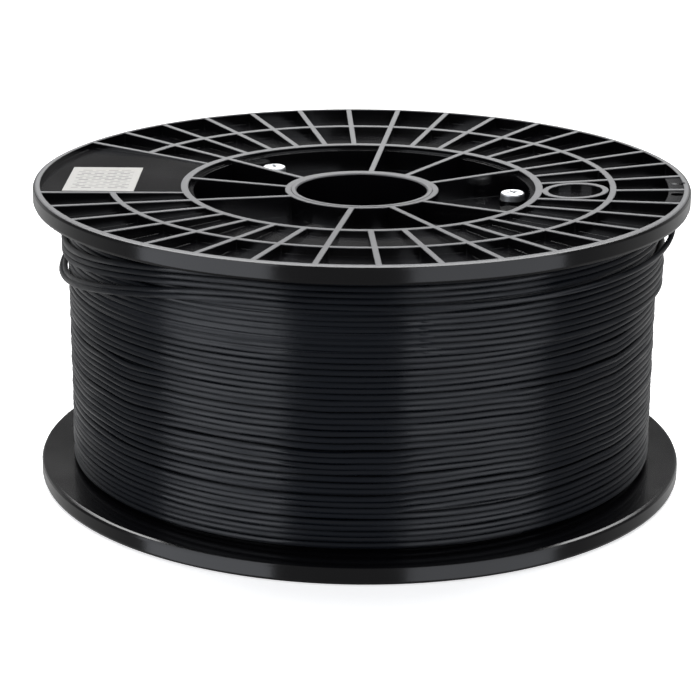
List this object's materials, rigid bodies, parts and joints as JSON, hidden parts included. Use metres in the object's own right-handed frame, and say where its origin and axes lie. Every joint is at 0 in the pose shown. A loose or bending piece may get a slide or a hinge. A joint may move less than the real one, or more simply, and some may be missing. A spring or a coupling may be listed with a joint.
{
  "type": "filament spool",
  "caption": "Round spool with two ribbed, dished flanges screwed to a barrel, a through bore for a spindle, and a full winding of thin plastic filament.",
  "frame": {"origin": "centre of the circle that the lower rim stands on", "axes": "+Z along the spool's axis towards the flange with the label; the label lies towards -X and the filament's free end towards +X"},
  "size_m": [0.2, 0.2, 0.092],
  "materials": {
    "moulded_plastic": "semi-gloss injection moulding, black",
    "filament_plastic": "satin extruded strand, blue-black",
    "plated_steel": "bright zinc plating",
    "label_paper": "coated label paper with faint grey print blocks"
  },
  "bodies": {
    "root": {"upper_flange": "moulded_plastic", "lower_flange": "moulded_plastic", "core_barrel": "moulded_plastic", "hub_tube": "moulded_plastic", "upper_screw_1": "plated_steel", "upper_screw_2": "plated_steel", "upper_screw_3": "plated_steel", "lower_screw_1": "plated_steel", "lower_screw_2": "plated_steel", "lower_screw_3": "plated_steel", "label": "label_paper", "filament_pack": "filament_plastic", "filament_top_layers": "filament_plastic", "filament_last_turns": "filament_plastic", "filament_tail": "filament_plastic"}
  },
  "joints": []
}
